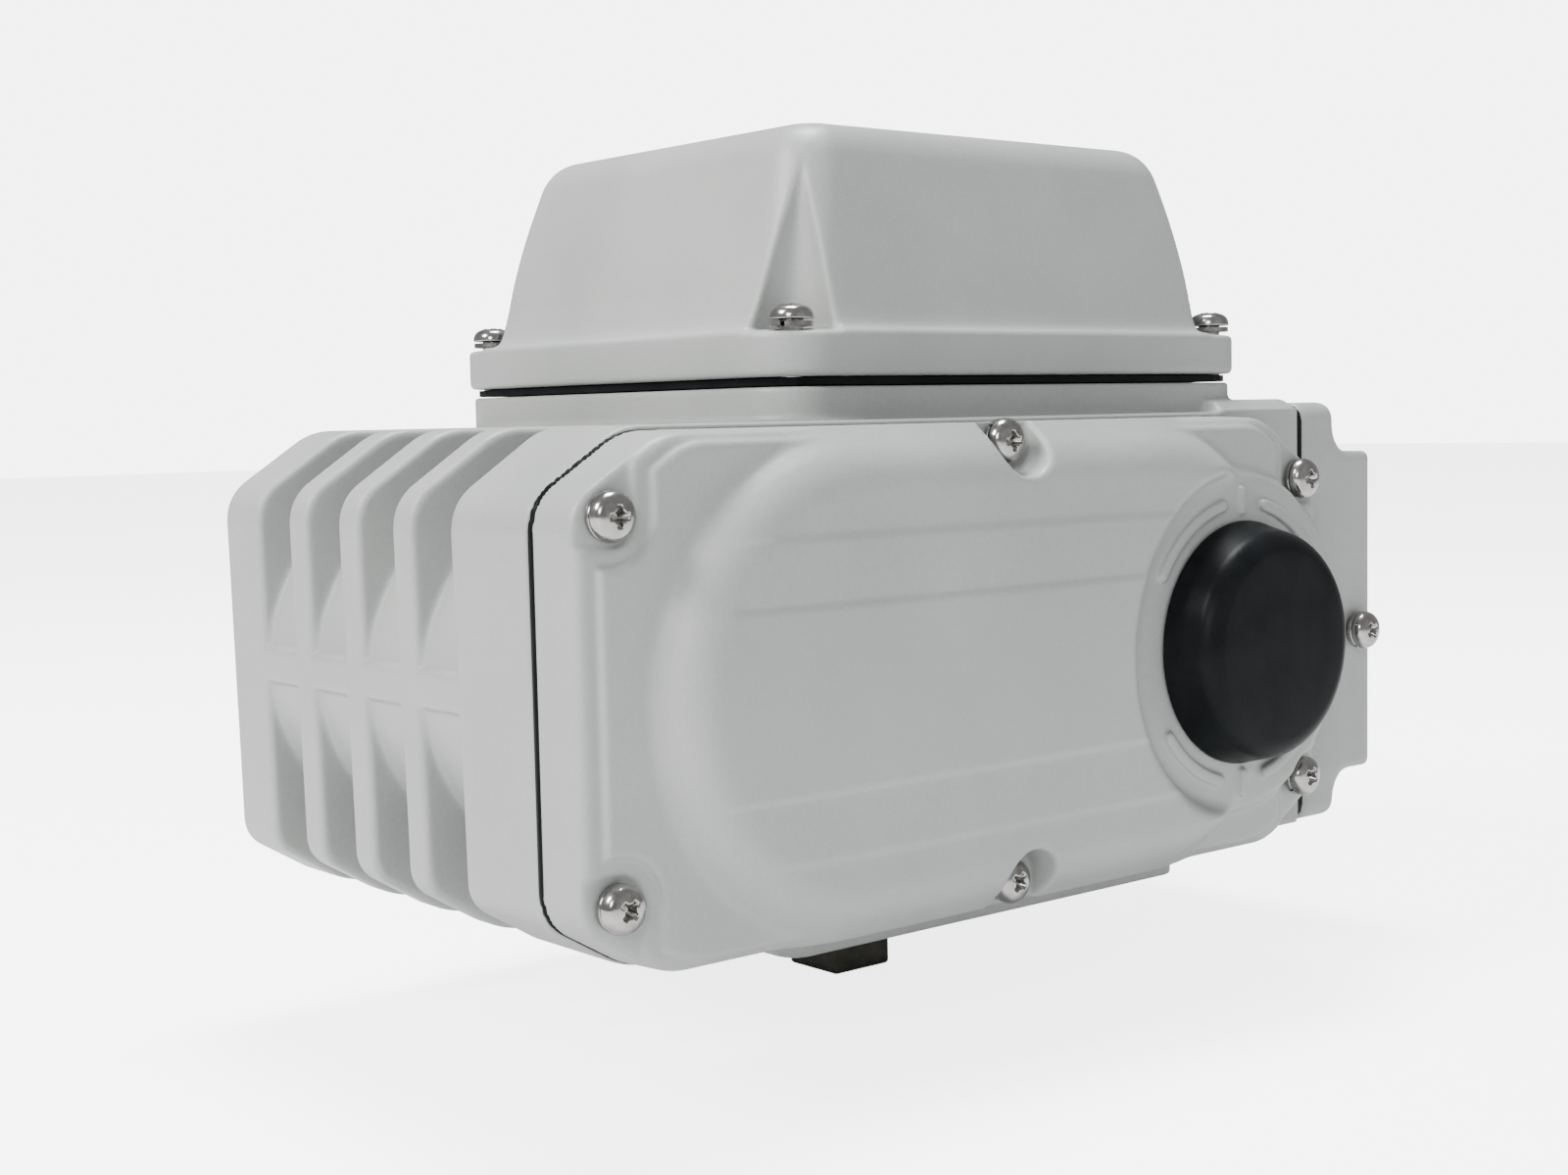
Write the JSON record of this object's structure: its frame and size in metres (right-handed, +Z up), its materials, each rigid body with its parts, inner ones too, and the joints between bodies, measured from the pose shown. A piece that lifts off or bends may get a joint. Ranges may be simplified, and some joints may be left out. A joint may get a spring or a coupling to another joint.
{
  "type": "motorized valve actuator",
  "caption": "Quarter-turn electric valve actuator: finned grey cast housing, bolted front, top and end covers, rubber-capped manual shaft, square output drive below.",
  "frame": {"origin": "output shaft axis where it crosses the valve mounting face under the housing", "axes": "+Z up along the output shaft, away from the valve; +X towards the cable entries, along the longest side; -Y towards the gear cover and the manual shaft cap"},
  "size_m": [0.2553, 0.1618, 0.1923],
  "materials": {
    "housing_paint": "light grey powder coat, satin with a fine texture",
    "black_rubber": "satin",
    "stainless": "bright stainless",
    "dark_steel": "oiled, dark grey",
    "gear_steel": "machined",
    "bronze": "machined",
    "circuit_board": "green solder mask",
    "black_plastic": "moulded, matt",
    "motor_can": "zinc plated"
  },
  "bodies": {
    "housing": {"main_housing": "housing_paint", "gear_cover": "housing_paint", "top_cover": "housing_paint", "end_cover": "housing_paint", "gear_cover_gasket": "black_rubber", "top_cover_gasket": "black_rubber", "end_cover_gasket": "black_rubber", "cable_entry_plug_front": "black_plastic", "cable_entry_plug_back": "black_plastic", "gear_cover_screw_1": "stainless", "gear_cover_screw_2": "stainless", "gear_cover_screw_3": "stainless", "gear_cover_screw_4": "stainless", "gear_cover_screw_5": "stainless", "gear_cover_screw_6": "stainless", "gear_cover_washer_1": "stainless", "gear_cover_washer_2": "stainless", "gear_cover_washer_3": "stainless", "gear_cover_washer_4": "stainless", "gear_cover_washer_5": "stainless", "gear_cover_washer_6": "stainless", "top_cover_screw_1": "stainless", "top_cover_screw_2": "stainless", "top_cover_screw_3": "stainless", "top_cover_screw_4": "stainless", "top_cover_washer_1": "stainless", "top_cover_washer_2": "stainless", "top_cover_washer_3": "stainless", "top_cover_washer_4": "stainless", "end_cover_screw_1": "stainless", "end_cover_screw_2": "stainless", "end_cover_screw_3": "stainless", "end_cover_screw_4": "stainless", "earth_screw": "stainless", "earth_washer": "stainless", "compound_pin": "gear_steel", "idler_pin": "gear_steel", "worm_bearing_front": "gear_steel", "worm_bearing_rear": "gear_steel", "bearing_plate": "gear_steel", "motor_body": "motor_can", "motor_capacitor": "motor_can", "lower_bush": "bronze", "upper_bush": "bronze", "control_board": "circuit_board", "terminal_block": "black_plastic", "limit_switch_lower": "black_plastic", "limit_switch_upper": "black_plastic"},
    "cap": {"manual_shaft_cap": "black_rubber"},
    "output": {"output_shaft": "dark_steel", "worm_wheel": "bronze", "limit_cam_lower": "black_plastic", "limit_cam_upper": "black_plastic"},
    "worm": {"worm_shaft": "gear_steel", "final_gear": "gear_steel"},
    "idler": {"idler_gear": "gear_steel"},
    "compound": {"compound_gear": "gear_steel"},
    "pinion": {"motor_pinion": "gear_steel"}
  },
  "joints": [
    {"name": "output_turn", "type": "hinge", "parent": "housing", "child": "output", "pos_m": [0, 0, 0], "axis": [0, 0, 1], "range_deg": [0, 90]},
    {"name": "worm_turn", "type": "hinge", "parent": "housing", "child": "worm", "pos_m": [0.05025, 0, 0.0577], "axis": [0, -1, 0], "range_deg": [0, 3600]},
    {"name": "idler_turn", "type": "hinge", "parent": "housing", "child": "idler", "pos_m": [-0.009, -0.05, 0.0577], "axis": [0, -1, 0], "range_deg": [-4300, 0]},
    {"name": "compound_turn", "type": "hinge", "parent": "housing", "child": "compound", "pos_m": [-0.045, -0.054, 0.0577], "axis": [0, -1, 0], "range_deg": [0, 12900]},
    {"name": "motor_turn", "type": "hinge", "parent": "housing", "child": "pinion", "pos_m": [-0.08548, -0.05, 0.059], "axis": [0, -1, 0], "range_deg": [-56760, 0]},
    {"name": "cap_pull", "type": "slide", "parent": "housing", "child": "cap", "axis": [0, -1, 0], "range_m": [0, 0.03]}
  ],
  "couplings": [
    {"joint": "worm_turn", "follows": "output_turn", "ratio": 40},
    {"joint": "idler_turn", "follows": "output_turn", "ratio": -47.778},
    {"joint": "compound_turn", "follows": "output_turn", "ratio": 143.33},
    {"joint": "motor_turn", "follows": "output_turn", "ratio": -630.67}
  ]
}
